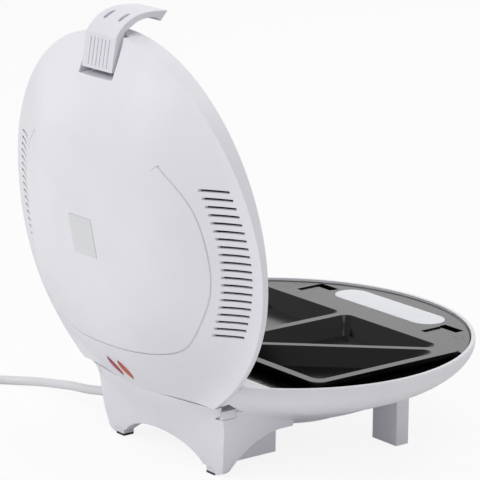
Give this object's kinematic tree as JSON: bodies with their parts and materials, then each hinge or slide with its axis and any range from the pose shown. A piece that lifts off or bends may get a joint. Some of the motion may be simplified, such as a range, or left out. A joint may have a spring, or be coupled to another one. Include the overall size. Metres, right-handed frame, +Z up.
{
  "type": "sandwich maker",
  "caption": "Oval countertop sandwich maker standing open: hinged lid with a latch clip, ridged triangular pockets in dark coated plates, slotted vents, rear cord.",
  "frame": {"origin": "centre of the open machine's box, on the surface that it stands on, cord left out", "axes": "+Z up, +Y to the rear where the hinge is, -Y to the front where the lid's latch closes"},
  "size_m": [0.4177, 0.3832, 0.288],
  "materials": {
    "housing": "moulded white thermoplastic, glossy",
    "badge": "smooth bare plate",
    "nonstick": "cast, with a dark non-stick coating",
    "panel": "white enamelled",
    "steel": "zinc plated",
    "element": "sheathed heating tube",
    "reflector": "bright sheet",
    "foot_rubber": "black rubber",
    "thermostat": "pressed caps",
    "insulator": "heat-resistant moulding",
    "wire": "sleeved wires",
    "cord_jacket": "white flexible jacket",
    "plug": "white moulded",
    "plug_pin": "nickel plated",
    "red_lamp": "clear red",
    "amber_lamp": "clear amber",
    "neon": "small glass lamps"
  },
  "bodies": {
    "base": {"base_shell": "housing", "bottom_cover": "housing", "cover_screws": "steel", "rubber_foot_left": "foot_rubber", "rubber_foot_right": "foot_rubber", "hinge_pin_left": "steel", "hinge_pin_right": "steel", "lower_plate": "nonstick", "lower_plate_screws": "steel", "front_panel": "panel", "lower_element": "element", "lower_reflector": "reflector", "lower_tray_screws": "steel", "lower_thermostat": "thermostat", "thermal_fuse": "thermostat", "terminal_block": "insulator", "terminal_screw": "steel", "base_wiring": "wire", "cord_gland": "plug", "cord": "cord_jacket", "cord_coil": "cord_jacket", "plug_body": "plug", "plug_pins": "plug_pin"},
    "lid": {"lid_shell": "housing", "badge_plate": "badge", "red_lens": "red_lamp", "amber_lens": "amber_lamp", "lamp_holder": "insulator", "lamp_holder_screws": "steel", "neon_lamps": "neon", "upper_plate": "nonstick", "upper_plate_screws": "steel", "upper_element": "element", "upper_reflector": "reflector", "upper_tray_screws": "steel", "upper_thermostat": "thermostat", "lid_wiring": "wire", "hinge_bracket_left": "steel", "hinge_bracket_right": "steel", "bracket_screws": "steel", "latch_pin": "steel"},
    "latch": {"latch_clip": "housing"}
  },
  "joints": [
    {"name": "lid_hinge", "type": "hinge", "parent": "base", "child": "lid", "pos_m": [0, 0.0788, 0.059], "axis": [1, 0, 0], "range_deg": [0, 95]},
    {"name": "latch_pivot", "type": "hinge", "parent": "lid", "child": "latch", "pos_m": [0, 0.11868, 0.26812], "axis": [1, 0, 0], "range_deg": [-20, 12], "stiffness_Nm_per_rad": 0.05}
  ]
}
